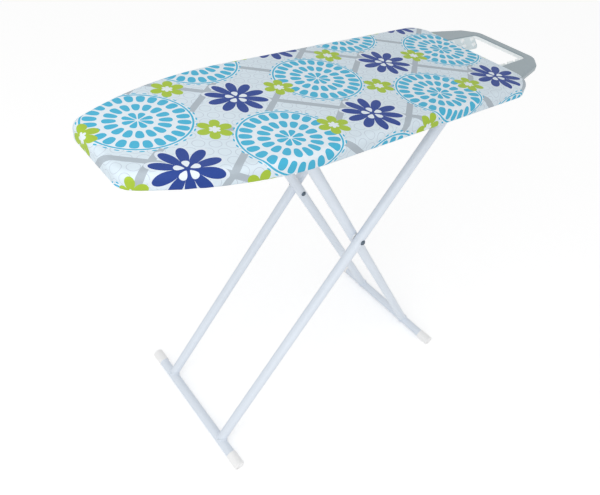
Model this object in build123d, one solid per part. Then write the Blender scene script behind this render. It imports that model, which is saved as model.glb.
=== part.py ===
from build123d import *
import math
import os

# Overall sizes in millimetres, floor at z = 0, nose of the board at -X, iron rest at +X
board_height = 890.0
board_half_width = 188.0
nose_x = -558.0
heel_x = 419.0
rest_end_x = 566.0
taper_start_x = -205.0
taper_radius = 680.0
nose_corner = 35.0
heel_corner = 58.0

# Layers of the top, from the cloth down to its hem
cloth = 1.2
pad_thickness = 8.0
panel_thickness = 0.8
rim_height = 20.0
rim_width = 10.0
rim_wall = 1.0
hem_width = 32.0
cover_roll = 9.2
hem_roll = 4.0
elastic_size = 3.0
fit = 0.3

# Folded sheet and flat rivets under the top
rib_depth = 8.0
rib_wall = 1.2
rib_half_width = 22.0
rib_end_gap = 2.4
flange_depth = 2.0
rivet_shank = 2.5
rivet_hole = 2.6
rivet_head = 4.5
rivet_head_height = 1.6

# Legs: two crossed frames of round tube
tube_radius = 12.5
tube_wall = 1.0
outer_spacing = 125.0
inner_spacing = 98.5
pivot_x = -4.5
pivot_z = 546.0
foot_reach = 370.0
foot_z = 13.5
hinge_z = 829.0
foot_half_length = 216.0
cap_radius = 14.0
cap_length = 40.0
cap_end = 5.0
pin_radius = 4.0
pin_head = 6.5
slide_radius = 8.0
plug_reach = 18.0
press_slack = 0.05
turning_slack = 0.1

# Height lock under the board
rod_z = 845.0
rod_radius = 5.0
rail_y = 34.0
rail_wall = 1.6
rail_flange = 17.0
slot_slack = 0.4
lever_cant = 10.0
lever_length = 92.0
lever_pin_z = 860.0
lever_pin_radius = 2.5
block_half = 18.0

# Iron rest
rest_depth = 14.0
rest_wall = 3.0
inner_wall_depth = 9.0
arm_y = 106.0
arm_half_width = 10.0
arm_thickness = 4.0
cheek_slope = 42.0
cheek_thickness = 2.5
stud_radius = 5.5
stud_tip = 3.8
stud_height = 5.0
stud_columns = (14.0, 52.0, 90.0)
stud_rows = (-7.0, -22.0)

# Levels and places that follow from these
lining = cloth + 0.4
pad_top = board_height - cloth - fit
panel_top = pad_top - pad_thickness
rim_top = panel_top - panel_thickness
rim_bottom = rim_top - rim_height
hem_top = rim_bottom - fit
hem_bottom = hem_top - cloth
rib_bottom = rim_top - rib_depth
lean = math.atan2(foot_reach, pivot_z - foot_z)
upper_reach = (hinge_z - pivot_z) * math.tan(lean)
hinge_x = pivot_x + upper_reach
slide_x = pivot_x - upper_reach
leg_length = (hinge_z - foot_z) / math.cos(lean)
folded_slide_x = hinge_x - 2 * (hinge_z - pivot_z) / math.cos(lean)
rib_xs = (-440.0, -120.0, hinge_x, 318.0)
heel_rib_half = 160.0
post_xs = (folded_slide_x - 24, rib_xs[1] - 4)
through = 40.0

os.makedirs("parts", exist_ok=True)


def save(shape, name):
    export_step(shape, "parts/" + name + ".step")


def taper_y(x):
    run = x - taper_start_x
    return board_half_width - taper_radius + math.sqrt(taper_radius ** 2 - run ** 2)


def board_plan():
    nose_y = taper_y(nose_x)
    middle_x = (taper_start_x + nose_x) / 2
    middle_y = taper_y(middle_x)
    edges = [
        Line((heel_x, board_half_width), (taper_start_x, board_half_width)),
        ThreePointArc((taper_start_x, board_half_width), (middle_x, middle_y), (nose_x, nose_y)),
        Line((nose_x, nose_y), (nose_x, -nose_y)),
        ThreePointArc((nose_x, -nose_y), (middle_x, -middle_y), (taper_start_x, -board_half_width)),
        Line((taper_start_x, -board_half_width), (heel_x, -board_half_width)),
        Line((heel_x, -board_half_width), (heel_x, board_half_width)),
    ]
    face = make_face(edges)
    face = fillet([v for v in face.vertices() if v.X < nose_x + 1], nose_corner)
    return fillet([v for v in face.vertices() if v.X > heel_x - 1], heel_corner)


plan = board_plan()


def slab(inset, low, high):
    face = offset(plan, amount=-inset) if inset else plan
    return Pos(0, 0, low) * extrude(face, high - low)


def level_edges(solid, level):
    return [e for e in solid.edges() if abs(e.center().Z - level) < 0.01]


def roll_edges(solid, low, high, low_roll, high_roll):
    solid = fillet(level_edges(solid, high), high_roll)
    if low_roll:
        solid = fillet(level_edges(solid, low), low_roll)
    return solid


def box(x, y, z):
    size = (x[1] - x[0], y[1] - y[0], z[1] - z[0])
    return Pos(x[0], y[0], z[0]) * Box(*size, align=(Align.MIN, Align.MIN, Align.MIN))


def rod(radius, length):
    return Cylinder(radius, length, align=(Align.CENTER, Align.CENTER, Align.MIN))


def across(x, z, radius, y0, y1):
    return Pos(x, y0, z) * Rot(-90, 0, 0) * rod(radius, y1 - y0)


def along(y, z, radius, x0, x1):
    return Pos(x0, y, z) * Rot(0, 90, 0) * rod(radius, x1 - x0)


def upright(x, y, radius, z0, z1):
    return Pos(x, y, z0) * rod(radius, z1 - z0)


def outline(*points):
    return make_face(Polyline(*points, close=True))


def plate(face, y0, y1):
    return Pos(0, y1, 0) * extrude(Plane.XZ * face, y1 - y0, dir=(0, -1, 0))


def mirrored(solid):
    return mirror(solid, about=Plane.XZ)


def save_pair(solid, name):
    save(solid, name + "_near")
    save(mirrored(solid), name + "_far")


def bent_strip(points, thickness, y0, y1):
    turns = []
    for here, there in zip(points, points[1:]):
        turns.append(math.atan2(there[1] - here[1], there[0] - here[0]))
    above = []
    below = []
    for (x, z), first, second in zip(points, turns[:1] + turns, turns + turns[-1:]):
        middle = (first + second) / 2
        reach = thickness / 2 / math.cos((second - first) / 2)
        above.append((x - reach * math.sin(middle), z + reach * math.cos(middle)))
        below.append((x + reach * math.sin(middle), z - reach * math.cos(middle)))
    return plate(outline(*above, *reversed(below)), y0, y1)


# Cloth cover: stretched over the top, rolled round the rim and turned under to a gathered hem
outer_skin = roll_edges(slab(0, hem_bottom, board_height), hem_bottom, board_height, hem_roll, cover_roll)
inner_skin = slab(cloth, hem_top, board_height - cloth)
inner_skin = roll_edges(inner_skin, hem_top, board_height - cloth, hem_roll - cloth, cover_roll - cloth)
cover = outer_skin - inner_skin - slab(hem_width, hem_bottom - 5, hem_top + 5)
save(cover, "cover_cloth")

# Elastic cord lying in the fold of the hem
elastic_low = hem_top + fit
elastic_inset = hem_width - elastic_size - 1
elastic = slab(elastic_inset, elastic_low, elastic_low + elastic_size)
elastic -= slab(elastic_inset + elastic_size, elastic_low - 1, elastic_low + elastic_size + 1)
save(elastic, "hem_elastic")

# Foam pad under the cloth
pad = slab(lining, panel_top, pad_top)
save(roll_edges(pad, panel_top, pad_top, 0, cover_roll - lining), "foam_pad")

# Pressed rim, a channel open to the inside
rim = slab(lining, rim_bottom, rim_top)
rim = fillet(level_edges(rim, rim_bottom), hem_roll - rim_wall)
rim -= slab(lining + rim_width, rim_bottom - 1, rim_top + 1)
rim -= slab(lining + rim_wall, rim_bottom + rim_wall, rim_top - rim_wall)
save(rim, "rim_channel")

# Steel top sheet with diamond openings that let the steam through
pitch_x = 52.0
pitch_y = 26.0
open_x = 36.0
open_y = 16.0
mesh_ends = (-515.0, 365.0)
mesh_margin = 30.0
rib_margin = rib_half_width + 16
post_land = (-470.0, 20.0)


def opens_at(x, y):
    edge = taper_y(x - open_x / 2) if x < taper_start_x else board_half_width
    on_rib = min(abs(x - rib_x) for rib_x in rib_xs) < rib_margin
    on_post = x < post_land[0] and abs(y) < post_land[1]
    return abs(y) < edge - mesh_margin and mesh_ends[0] < x < mesh_ends[1] and not on_rib and not on_post


diamond = outline((-open_x / 2, 0), (0, -open_y / 2), (open_x / 2, 0), (0, open_y / 2))
diamonds = []
columns = range(math.floor(nose_x / pitch_x), math.ceil(heel_x / pitch_x))
rows = range(-round(board_half_width / pitch_y) - 1, round(board_half_width / pitch_y) + 2)
for column in columns:
    for row in rows:
        x = (column + 0.5 * (row % 2)) * pitch_x
        y = row * pitch_y
        if opens_at(x, y):
            diamonds.append(Pos(x, y) * diamond)
sheet = offset(plan, amount=-lining) - diamonds
save(Pos(0, 0, rim_top) * extrude(sheet, panel_thickness), "mesh_top")


# Cross ribs under the sheet, folded channels with holes for the rivets
def rib_half(x):
    edge = taper_y(x - rib_half_width) if x < taper_start_x else board_half_width
    half = edge - lining - rim_width - rib_end_gap
    return min(half, heel_rib_half) if x > hinge_x else half


def rib(x, holes):
    half = rib_half(x)
    inside = rib_half_width - rib_wall
    channel = box((x - rib_half_width, x + rib_half_width), (-half, half), (rib_bottom, rim_top))
    channel -= box((x - inside, x + inside), (-half - 1, half + 1), (rib_bottom + rib_wall, rim_top + 1))
    for hole_x, hole_y in holes:
        channel -= upright(hole_x, hole_y, rivet_hole, rib_bottom - 1, rib_bottom + 3)
    return channel


bracket_spots = ((-14, -11), (14, 11))
bracket_holes = []
for dx, dy in bracket_spots:
    bracket_holes += [(hinge_x + dx, dy - outer_spacing), (hinge_x + dx, outer_spacing - dy)]
rail_flange_y = rail_y + 10
rail_holes = [[(x, -rail_flange_y), (x, rail_flange_y)] for x in rib_xs[:2]]
arm_holes = [(rib_xs[3] + dx, side * arm_y) for dx in (-11, 11) for side in (-1, 1)]
hole_sets = (*rail_holes, bracket_holes, arm_holes)
for name, x, holes in zip(("nose", "middle", "hinge", "heel"), rib_xs, hole_sets):
    save(rib(x, holes), "cross_rib_" + name)


def flange_rivet(x, y, flange):
    head_top = rib_bottom - flange
    head = upright(x, y, rivet_head, head_top - rivet_head_height, head_top)
    return head + upright(x, y, rivet_shank, head_top, rib_bottom + rivet_shank)


# Hinge brackets that hold the tongues of the outer leg
tongue_thickness = 6.0
tongue_half = 9.0
tongue_drop = 15.0
bracket_wall = 2.0
bracket_gap = tongue_thickness / 2 + slot_slack


def hinge_bracket():
    y = -outer_spacing
    foot = hinge_z - 8
    shoulder = hinge_z + 22
    bracket = box((hinge_x - 24, hinge_x + 24), (y - 16, y + 16), (rib_bottom - flange_depth, rib_bottom))
    cheek = outline(
        (hinge_x - 16, rib_bottom - 1), (hinge_x - 16, shoulder), (hinge_x - 9, foot),
        (hinge_x + 9, foot), (hinge_x + 16, shoulder), (hinge_x + 16, rib_bottom - 1))
    bracket += plate(cheek, y + bracket_gap, y + bracket_gap + bracket_wall)
    bracket += plate(cheek, y - bracket_gap - bracket_wall, y - bracket_gap)
    bracket -= across(hinge_x, hinge_z, pin_radius + press_slack, y - through, y + through)
    for dx, dy in bracket_spots:
        bracket -= upright(hinge_x + dx, y + dy, rivet_hole, rib_bottom - 5, rib_bottom + 5)
    return bracket


def hinge_pin():
    y = -outer_spacing
    edge = bracket_gap + bracket_wall
    head_end = edge + 2.5
    pin = across(hinge_x, hinge_z, pin_radius, y - edge, y + edge)
    pin += across(hinge_x, hinge_z, pin_head, y - head_end, y - edge)
    return pin + across(hinge_x, hinge_z, pin_head, y + edge, y + head_end)


save_pair(hinge_bracket(), "hinge_bracket")
save(Compound([hinge_pin(), mirrored(hinge_pin())]), "hinge_pins")
save(Compound([flange_rivet(x, y, flange_depth) for x, y in bracket_holes]), "bracket_rivets")

# Slotted rails that carry the slide bar of the inner leg
slot_ends = (folded_slide_x - 4, slide_x + slot_slack)
rail_ends = (slot_ends[0] - slide_radius - 10, rib_xs[1] + 20)
rail_corner = 9.0


def slide_rail():
    web = (-rail_y, -rail_y + rail_wall)
    rail = box(rail_ends, web, (hinge_z - 14, rib_bottom))
    corners = rail.edges().filter_by(Axis.Y).sort_by(Axis.X)[:2]
    rail = chamfer(corners.sort_by(Axis.Z)[0], rail_corner)
    rail += box(rail_ends, (-rail_y - rail_flange, web[1]), (rib_bottom - flange_depth, rib_bottom))
    half = slide_radius + slot_slack
    rail -= box(slot_ends, (web[0] - 5, web[1] + 5), (hinge_z - half, hinge_z + half))
    for x in slot_ends:
        rail -= across(x, hinge_z, half, web[0] - 5, web[1] + 5)
    for x in rib_xs[:2]:
        rail -= upright(x, -rail_flange_y, rivet_hole, rib_bottom - 5, rib_bottom + 5)
    return rail


save_pair(slide_rail(), "slide_rail")
save(Compound([flange_rivet(x, y, flange_depth) for pair in rail_holes for x, y in pair]), "rail_rivets")

# Lock rod between two posts
post_half_width = 14.0
post_wall = 3.0
save(along(0, rod_z, rod_radius, post_xs[0] - 4, post_xs[1] + 4), "lock_rod")


def rod_post(x, top, flange_x):
    sides = (-post_half_width, post_half_width)
    post = box((x - post_wall / 2, x + post_wall / 2), sides, (rod_z - 11, top))
    post += box((x, flange_x), sides, (top - flange_depth, top))
    return post - along(0, rod_z, rod_radius + press_slack, x - post_wall, x + post_wall)


save(rod_post(post_xs[0], rim_top, post_xs[0] + 24), "rod_post_nose")
save(rod_post(post_xs[1], rib_bottom, post_xs[1] + 18), "rod_post_middle")

# Iron rest: a moulded frame, hollow underneath, that follows the rounded heel
rest_top = board_height - 6
rest_low = rest_top - rest_depth
rest_root = (heel_x - 29, 157.0)
rest_shoulder = (rest_end_x - 40, 122.0)
rest_tip = (rest_end_x, 88.0)
window_root = (heel_x - 53, 88.0)
window_end = (rest_end_x - 28, 80.0)
tip_radius = 30.0
window_radius = 14.0
outer_roll = 5.0
inner_roll = 2.0
screw_xs = (heel_x + 32, heel_x + 84)
screw_radius = 2.0
boss_radius = 6.0


def both_sides(*points):
    return outline(*points, *[(x, -y) for x, y in reversed(points)])


def round_far_end(face, radius):
    return fillet([v for v in face.vertices() if v.X > heel_x + 80], radius)


def free_rim(solid):
    return [e for e in level_edges(solid, rest_top) if e.center().X > heel_x + 21]


def beside_window(edge):
    spot = edge.center()
    return abs(spot.Y) <= window_root[1] and spot.X <= window_end[0] + 1


rest_window = round_far_end(both_sides(window_root, window_end), window_radius)
rest_plan = round_far_end(both_sides(rest_root, rest_shoulder, rest_tip), tip_radius)
rest_plan = rest_plan - rest_window - offset(plan, amount=1.0)
rest = Pos(0, 0, rest_low) * extrude(rest_plan, rest_depth)
rest = fillet([e for e in free_rim(rest) if not beside_window(e)], outer_roll)
rest = fillet([e for e in free_rim(rest) if beside_window(e)], inner_roll)
hollow = extrude(offset(rest_plan, amount=-rest_wall), rest_depth - rest_wall)
rest -= Pos(0, 0, rest_low) * hollow
cut_back = extrude(offset(rest_window, amount=rest_wall), rest_depth - inner_wall_depth)
rest -= Pos(0, 0, rest_low) * cut_back
for x in screw_xs:
    for side in (-1, 1):
        rest += upright(x, side * arm_y, boss_radius, rest_low, rest_top - rest_wall)
        rest -= upright(x, side * arm_y, screw_radius + press_slack, rest_low - 1, rest_low + 9)
save(rest, "rest_frame")

# Soft strip along the inner wall of the end bar and round both corners
strip_thickness = 2.0
strip_low = rest_top - inner_wall_depth
strip_face = rest_window - offset(rest_window, amount=-strip_thickness)
strip = Pos(0, 0, strip_low) * extrude(strip_face, inner_wall_depth - inner_roll)
open_side = (window_root[0] - 1, window_end[0] - window_radius)
strip -= box(open_side, (-window_root[1] - 1, window_root[1] + 1), (strip_low - 1, rest_top))
save(strip, "rest_strip")

# Sloping cheeks on both sides of the rest, with soft studs for the hot iron
wall_slope = (window_root[1] - window_end[1]) / (window_end[0] - window_root[0])
cheek_x = heel_x + 4
cheek_y = window_root[1] - wall_slope * (cheek_x - window_root[0])
cheek_length = 98.0
cheek_width = 33.0
cheek_flare = 7.0
slope = math.radians(cheek_slope)
wall_line = (1, -wall_slope, 0)
wall_plane = Plane(origin=(cheek_x, cheek_y, rest_top - inner_roll), x_dir=wall_line, z_dir=(0, 0, 1))
wall_flange = box((0, cheek_length), (-cheek_thickness, 0), (inner_roll - inner_wall_depth, 0))
cheek_plane = Plane(
    origin=(cheek_x, cheek_y - cheek_thickness, rest_top - inner_roll),
    x_dir=wall_line,
    z_dir=(-wall_slope * math.sin(slope), -math.sin(slope), math.cos(slope)))
cheek_end = cheek_length + cheek_flare
cheek_face = outline(
    (0, 0), (cheek_length, 0), (cheek_end, -cheek_flare), (cheek_end, cheek_flare - cheek_width),
    (cheek_length, -cheek_width), (0, -cheek_width))
cheek_face = fillet([v for v in cheek_face.vertices() if v.X > cheek_length / 2], cheek_flare - 1)
far_cheek = wall_plane * wall_flange + cheek_plane * extrude(cheek_face, -cheek_thickness)
save(far_cheek, "rest_cheek_far")
save(mirrored(far_cheek), "rest_cheek_near")

stud = Cone(stud_radius, stud_tip, stud_height, align=(Align.CENTER, Align.CENTER, Align.MIN))
studs = []
for u in stud_columns:
    for v in stud_rows:
        studs.append(cheek_plane * Pos(u, v) * stud)
save(Compound(studs + [mirrored(s) for s in studs]), "rest_studs")

# Bent flat arms that carry the rest from the heel rib
arm_drop = hem_bottom - 4
arm_path = [
    (rib_xs[3] - 20, rib_bottom - arm_thickness / 2),
    (rib_xs[3] + 24, rib_bottom - arm_thickness / 2),
    (rib_xs[3] + 42, arm_drop),
    (heel_x + 15, arm_drop),
    (heel_x + 23, rest_low - arm_thickness / 2),
    (heel_x + 96, rest_low - arm_thickness / 2),
]


def rest_arm():
    arm = bent_strip(arm_path, arm_thickness, -arm_y - arm_half_width, -arm_y + arm_half_width)
    for x, y in arm_holes:
        arm -= upright(x, y, rivet_hole, rib_bottom - 8, rib_bottom + 5)
    for x in screw_xs:
        arm -= upright(x, -arm_y, rivet_hole, rest_low - 9, rest_low + 5)
    return arm


def rest_screw(x, y):
    seat = rest_low - arm_thickness
    return upright(x, y, screw_radius, seat, rest_low + 8) + upright(x, y, rivet_head, seat - 3, seat)


save_pair(rest_arm(), "rest_arm")
save(Compound([flange_rivet(x, y, arm_thickness) for x, y in arm_holes]), "arm_rivets")
save(Compound([rest_screw(x, side * arm_y) for x in screw_xs for side in (-1, 1)]), "rest_screws")


# Legs: the outer frame stands at the nose, the inner frame at the heel
def leg_plane(side, y):
    return Plane(
        origin=(pivot_x + side * foot_reach, y, foot_z),
        x_dir=(0, 1, 0),
        z_dir=(-side * math.sin(lean), 0, math.cos(lean)))


def pipe(length):
    return rod(tube_radius, length) - rod(tube_radius - tube_wall, length)


def foot_joint(side, y):
    return across(pivot_x + side * foot_reach, foot_z, tube_radius, y - through, y + through)


def pivot_hole(y, slack):
    return across(pivot_x, pivot_z, pin_radius + slack, y - through, y + through)


def outer_tube(y):
    lid_depth = 4
    round_end = leg_length - tongue_drop
    lid = Pos(0, 0, round_end - lid_depth) * rod(tube_radius, lid_depth)
    lid = chamfer(lid.edges().sort_by(Axis.Z)[-1], lid_depth / 2)
    neck = Pos(tongue_drop / 2, 0) * Rectangle(tongue_drop, 2 * tongue_half)
    tongue = Rot(0, 90, 0) * extrude(Circle(tongue_half) + neck, tongue_thickness)
    tongue = Pos(-tongue_thickness / 2, 0, leg_length) * tongue
    tube = leg_plane(-1, y) * (pipe(round_end - lid_depth) + lid + tongue)
    tube -= foot_joint(-1, y)
    tube -= across(hinge_x, hinge_z, pin_radius + turning_slack, y - through, y + through)
    return tube - pivot_hole(y, turning_slack)


def inner_tube(y):
    tube = leg_plane(1, y) * pipe(leg_length + plug_reach)
    return tube - foot_joint(1, y) - pivot_hole(y, press_slack)


def tube_plug(y):
    head_height = 3
    head = chamfer(rod(tube_radius, head_height).edges().sort_by(Axis.Z)[-1], head_height / 2)
    stem = Pos(0, 0, -10) * rod(tube_radius - tube_wall - press_slack, 10)
    return leg_plane(1, y) * Pos(0, 0, leg_length + plug_reach) * (head + stem)


def foot_bar(side):
    x = pivot_x + side * foot_reach
    reach = foot_half_length - cap_end
    bar = across(x, foot_z, tube_radius, -reach, reach)
    return bar - across(x, foot_z, tube_radius - tube_wall, -reach - 1, reach + 1)


def foot_cap(side):
    x = pivot_x + side * foot_reach
    outer_end = -foot_half_length
    inner_end = outer_end + cap_length
    dish_radius = 9.5
    cap = across(x, foot_z, cap_radius, outer_end, inner_end)
    cap = chamfer([e for e in cap.edges() if abs(e.center().Y - outer_end) < 0.1], 1.5)
    cap -= across(x, foot_z, tube_radius + press_slack, outer_end + cap_end, inner_end + 1)
    cap -= across(x, foot_z, dish_radius, outer_end - 1, outer_end + 2)
    return cap - box((x - through, x + through), (outer_end - 1, inner_end + 1), (-through, 0))


legs = (("outer", -1, outer_spacing, outer_tube), ("inner", 1, inner_spacing, inner_tube))
for name, side, spacing, tube_of in legs:
    save_pair(tube_of(-spacing), name + "_tube")
    save(foot_bar(side), name + "_foot_bar")
    save_pair(foot_cap(side), name + "_foot_cap")

save(Compound([tube_plug(-inner_spacing), tube_plug(inner_spacing)]), "tube_plugs")

slide_bar = across(slide_x, hinge_z, slide_radius, -inner_spacing, inner_spacing)
for y in (-inner_spacing, inner_spacing):
    slide_bar -= leg_plane(1, y) * Pos(0, 0, leg_length) * Cylinder(tube_radius, 2 * through)
save(slide_bar, "slide_bar")

# Pivot rivets and the washers between the crossed tubes
pivot_head_height = 3.2


def pivot_rivet():
    outside = -outer_spacing - tube_radius
    inside = -inner_spacing + tube_radius
    head = chamfer(rod(pin_head, pivot_head_height).edges().sort_by(Axis.Z)[-1], 2)
    rivet = across(pivot_x, pivot_z, pin_radius, outside, inside)
    rivet += Pos(pivot_x, inside, pivot_z) * Rot(-90, 0, 0) * head
    return rivet + Pos(pivot_x, outside, pivot_z) * Rot(90, 0, 0) * head


def pivot_washer():
    start = -outer_spacing + tube_radius + turning_slack
    ring = across(pivot_x, pivot_z, 10, start, start + 1.3)
    return ring - across(pivot_x, pivot_z, pin_radius + turning_slack, start - 1, start + 4)


save_pair(pivot_rivet(), "pivot_rivet")
save(Compound([pivot_washer(), mirrored(pivot_washer())]), "pivot_washers")

# Lock carriage on the slide bar, running on the rod
ear_wall = 6.0
lever_pin_x = slide_x + 34
block_sides = (slide_x - block_half, slide_x + block_half)
block = box(block_sides, (-block_half, block_half), (hinge_z - 15, rod_z + 13))
block = fillet(block.edges().filter_by(Axis.X), 4)
for ear_y in (-block_half, block_half - ear_wall):
    block += box((slide_x + 4, lever_pin_x + 6), (ear_y, ear_y + ear_wall), (rod_z - 12, lever_pin_z + 7))
block -= across(slide_x, hinge_z, slide_radius + press_slack, -through, through)
block -= along(0, rod_z, rod_radius + fit, slide_x - through, slide_x + 2 * through)
block -= across(lever_pin_x, lever_pin_z, lever_pin_radius + press_slack, -through, through)
save(block, "lock_carriage")

pin_end = block_half + 2
pin = across(lever_pin_x, lever_pin_z, lever_pin_radius, -block_half, block_half)
pin += across(lever_pin_x, lever_pin_z, 4, -pin_end, -block_half)
pin += across(lever_pin_x, lever_pin_z, 4, block_half, pin_end)
save(pin, "lever_pin")

# Canted lock plate with its grip, drawn square to the rod and then leaned
plate_half = 1.5
stem_half = 6.0
wide_half = 11.0
window_half = (5.8, 6.6)
lean_lever = Pos(lever_pin_x, 0, lever_pin_z) * Rot(0, lever_cant, 0)
rod_drop = (lever_pin_z - rod_z) / math.cos(math.radians(lever_cant))
lever = box((-plate_half, plate_half), (-stem_half, stem_half), (-lever_length, 0))
lever += box((-plate_half, plate_half), (-wide_half, wide_half), (-lever_length + 36, -7))
lever += across(0, 0, 5.5, -stem_half, stem_half)
lever -= across(0, 0, lever_pin_radius + turning_slack, -through, through)
window_y = (-window_half[0], window_half[0])
window_z = (-rod_drop - window_half[1], -rod_drop + window_half[1])
lever -= box((-through, through), window_y, window_z)
save(lean_lever * lever, "release_lever")

grip = box((-5, 5), (-12, 12), (-lever_length - 5, -lever_length + 32))
grip = fillet(grip.edges().filter_by(Axis.Z), 4)
socket_half = plate_half + press_slack
socket_side = stem_half + press_slack
socket_floor = -lever_length - press_slack
grip -= box((-socket_half, socket_half), (-socket_side, socket_side), (socket_floor, -lever_length + through))
save(lean_lever * grip, "lever_grip")

# Torsion spring beside the lever on its pin, two and a half turns of wire
wire = 1.0
coil_radius = 4.2
coil_pitch = 1.8
coil_steps = 12
coil_start_y = 6.8
coil_points = []
for number in range(2 * coil_steps + coil_steps // 2 + 1):
    angle = 2 * math.pi * number / coil_steps
    rise = coil_pitch * number / coil_steps
    coil_points.append((coil_radius * math.cos(angle), coil_radius * math.sin(angle), rise))
coil = Polyline(*coil_points)
wire_face = Plane(origin=coil @ 0, z_dir=coil % 0) * Rectangle(wire, wire)
spring = sweep(wire_face, path=coil, transition=Transition.RIGHT)
save(Pos(lever_pin_x, coil_start_y, lever_pin_z) * Rot(-90, 0, 0) * spring, "lever_spring")
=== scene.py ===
"""Ironing board: printed cover, painted steel stand, iron rest and studio stage."""
import math

import bpy
from bpy.props import FloatProperty, FloatVectorProperty, IntProperty, PointerProperty
from mathutils import Matrix, Vector, noise


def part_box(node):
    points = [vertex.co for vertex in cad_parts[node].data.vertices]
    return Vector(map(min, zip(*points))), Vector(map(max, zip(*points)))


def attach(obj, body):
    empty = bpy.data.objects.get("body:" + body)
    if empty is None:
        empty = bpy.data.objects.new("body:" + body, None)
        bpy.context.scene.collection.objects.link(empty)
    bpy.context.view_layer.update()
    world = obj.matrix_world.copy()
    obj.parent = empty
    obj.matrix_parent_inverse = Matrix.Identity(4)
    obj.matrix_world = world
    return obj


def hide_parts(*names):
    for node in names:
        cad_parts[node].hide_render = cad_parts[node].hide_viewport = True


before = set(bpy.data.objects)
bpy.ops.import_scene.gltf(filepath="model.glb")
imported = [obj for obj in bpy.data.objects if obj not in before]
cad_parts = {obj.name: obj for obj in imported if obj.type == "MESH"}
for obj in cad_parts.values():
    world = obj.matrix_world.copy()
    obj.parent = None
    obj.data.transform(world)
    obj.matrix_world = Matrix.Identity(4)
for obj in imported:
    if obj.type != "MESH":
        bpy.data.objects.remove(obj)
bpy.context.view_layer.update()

bl_info = {
    "name": "Ironing board",
    "version": (1, 0, 0),
    "blender": (4, 5, 0),
    "location": "3D View > Sidebar > Ironing board",
    "description": "Dresses the ironing board assembly and sets up its studio stage",
    "category": "Object",
}

MM = 0.001
QUARTER_TURN = math.pi / 2
FULL_TURN = 2 * math.pi
UP = Vector((0.0, 0.0, 1.0))
WHITE = (1.0, 1.0, 1.0, 1.0)

MATH = "ShaderNodeMath"
VECTOR = "ShaderNodeVectorMath"
MIX = "ShaderNodeMix"
RANGE = "ShaderNodeMapRange"
NOISE = "ShaderNodeTexNoise"
BUMP = "ShaderNodeBump"
PLACE = "ShaderNodeTexCoord"

# Most of a noise texture lies between these two values.
NOISE_LOW = 0.3
NOISE_HIGH = 0.7

# The covered top, in metres: its plan is mirrored in the XZ plane.
COVER_LOW, COVER_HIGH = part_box("cover_cloth")
NOSE_X, HEEL_X = COVER_LOW.x, COVER_HIGH.x
COVER_BOTTOM, COVER_TOP = COVER_LOW.z, COVER_HIGH.z
COVER_DEPTH = COVER_TOP - COVER_BOTTOM
HALF_WIDTH = COVER_HIGH.y
PAD_BOTTOM, PAD_TOP = (corner.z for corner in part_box("foam_pad"))
TAPER_START_X = -0.205
TAPER_RADIUS = 0.680
NOSE_CORNER = 0.035
HEEL_CORNER = 0.058

# How finely the soft pieces are meshed: steps in metres, and counts.
COVER_STEP = 0.0065
FOAM_STEP = 0.020
ELASTIC_STEP = 0.012
HEEL_STEPS_LEAST = 8
NOSE_STEPS = 10
ROLL_STEPS = 9
SKIRT_ROWS = 6
HEM_ROWS = 7
FOAM_COLUMNS = 24
ELASTIC_SIDES = 8

# The print's half-drop repeat and its pale ink: millimetres along and across the board.
REPEAT = (200.0, 330.0)
PALE_INK = "E4EDF4"
PETAL_ROUNDNESS = 0.6

# The stretched top is slightly uneven: waves a metre along and across, noise layer, depth.
TOP_RIPPLES = ((9, 11, 1.7, 0.35 * MM), (34, 40, 8.2, 0.12 * MM))
TOP_EASE = 0.05

# The hem is drawn in most round the heel's corners and towards the nose.
STRAIGHT_GATHER = 0.25
GATHER_RUN_IN = 0.30
# Waves a metre along the edge and down the cloth, and noise layer.
FOLDS = (75, 9, 3.1)
SMALL_FOLDS = (190, 14, 7.9)
SWAY = (14, 5, 5.5)
# Shares of the gather's depth, and the lengths of cloth over which it sets in.
SMALL_FOLD_SHARE = 0.5
SKIRT_FOLD_SHARE = 0.30
SKIRT_SWAY_SHARE = 0.25
HEM_FOLD_SHARE = 0.8
SKIRT_START = 0.016
HEM_EASE = 0.012

# The hem's end folds back round the elastic: inset from the edge and rise, in millimetres.
HEM_FOLD = ((32.6, 0.6), (33.4, 2.2), (32.6, 4.0), (30.0, 5.0), (24.0, 4.6))
SEAM_INSET = (HEM_FOLD[-1][0] - 1.0) * MM
STITCH_HALF_LENGTH = 1.6 * MM
STITCH_HALF_WIDTH = 0.4 * MM
STITCH_DEPTH = 0.5 * MM
STITCH_SINK = 0.2 * MM
STITCH_FLAT_SHARE = 0.6
STITCH_STEPS = (3.0 * MM, 20.0 * MM)
ELASTIC_INSET = 30.0 * MM
ELASTIC_RISE = 3.0 * MM
ELASTIC_RADIUS = 1.5 * MM

# Foam edge: a soft shoulder and a slight undercut that clears the cover.
FOAM_CROWN = PAD_TOP - 0.3 * MM
FOAM_EDGE = (
    (14.0 * MM, FOAM_CROWN),
    (8.0 * MM, PAD_TOP - 1.4 * MM),
    (4.5 * MM, PAD_TOP - 3.4 * MM),
    (3.0 * MM, PAD_BOTTOM + 1.0 * MM),
    (4.0 * MM, PAD_BOTTOM),
    (12.0 * MM, PAD_BOTTOM),
)
FOAM_RIPPLE = (30, 30, 4.4)
FOAM_RIPPLE_DEPTH = 0.1 * MM

# Weld beads lie just outside the tube: clearances and lift are shares of its radius and the bead's.
TUBE_RADIUS = 0.0125
BEAD_STEPS = 56
BEAD_SIDES = 10
BEAD_CLEAR_ACROSS = 1.03
BEAD_CLEAR_ALONG = 1.05
BEAD_LIFT = 0.25
BEAD_RIPPLE = 0.12
BEAD_RIPPLE_TURN = 2.2

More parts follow.
